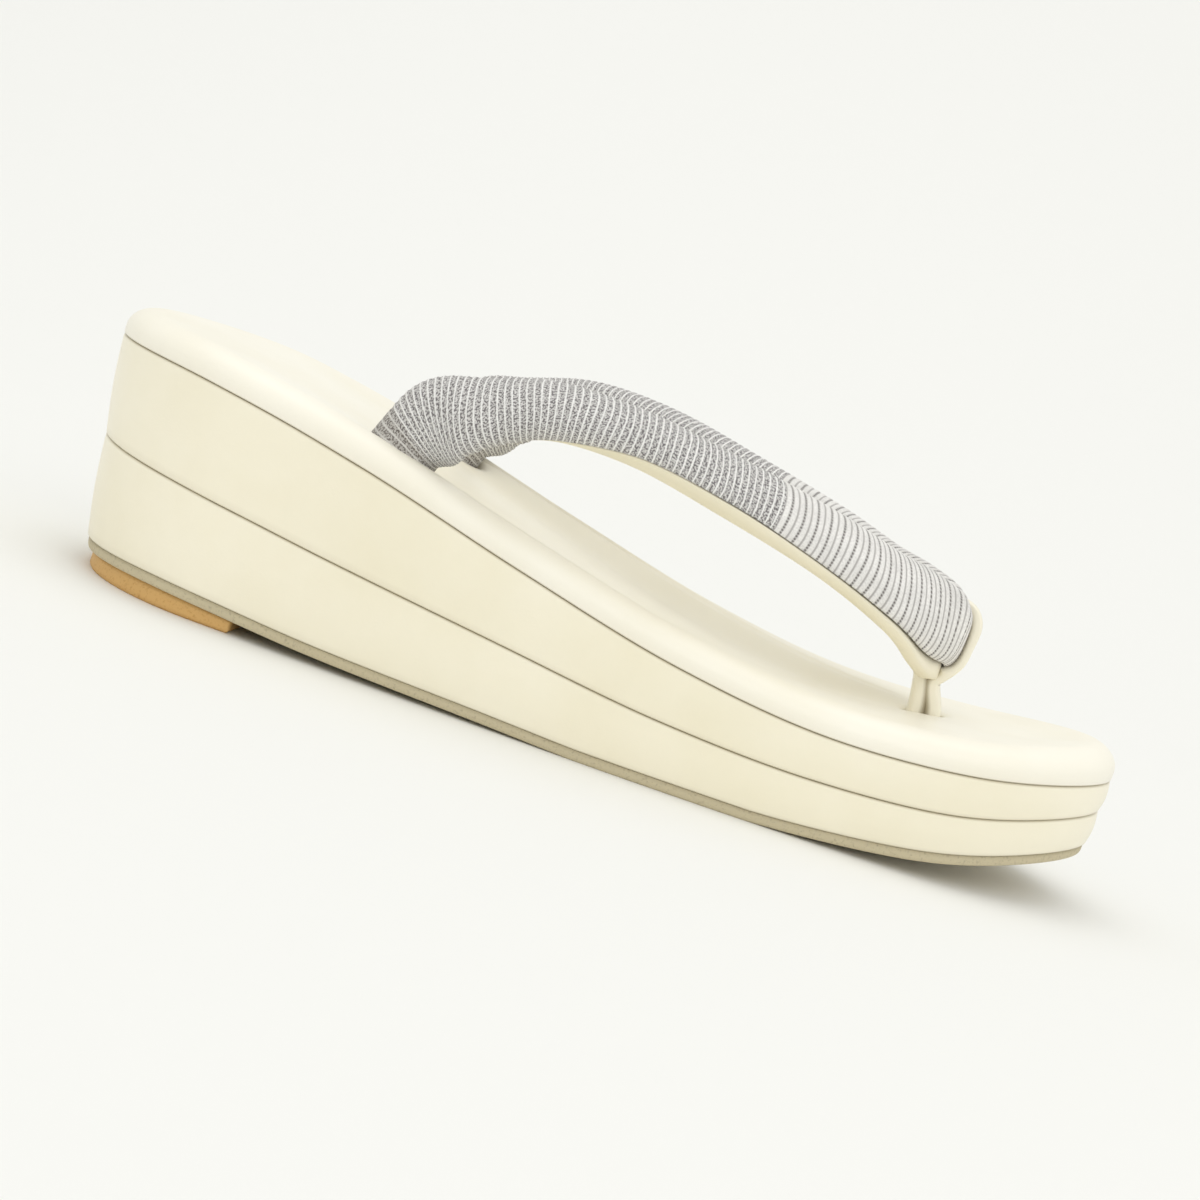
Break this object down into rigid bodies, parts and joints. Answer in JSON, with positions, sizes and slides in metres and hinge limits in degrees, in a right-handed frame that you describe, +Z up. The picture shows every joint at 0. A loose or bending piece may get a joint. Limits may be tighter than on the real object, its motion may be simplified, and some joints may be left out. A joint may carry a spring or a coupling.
{
  "type": "zori sandal",
  "caption": "Traditional zori sandal: two-tier wedge sole under a padded footbed, padded straps in woven fabric held by a loop behind the toes.",
  "frame": {"origin": "on the floor, under the middle of the sandal", "axes": "+X from the heel towards the toe, +Y to the sandal's left, +Z up from the floor"},
  "size_m": [0.2403, 0.0878, 0.0723],
  "materials": {
    "sole_rubber": "matt, warm grey",
    "lift_rubber": "matt, amber",
    "wedge_leather": "smooth cream faux leather, satin",
    "footbed_leather": "smooth cream faux leather, satin",
    "strap_fabric": "woven, white ribs on grey",
    "lining_leather": "smooth cream faux leather, matt",
    "thong_leather": "smooth cream faux leather, satin"
  },
  "bodies": {
    "root": {"outsole": "sole_rubber", "heel_lift": "lift_rubber", "lower_tier": "wedge_leather", "upper_tier": "wedge_leather", "footbed": "footbed_leather", "straps": "strap_fabric", "strap_lining": "lining_leather", "thong": "thong_leather"}
  },
  "joints": []
}
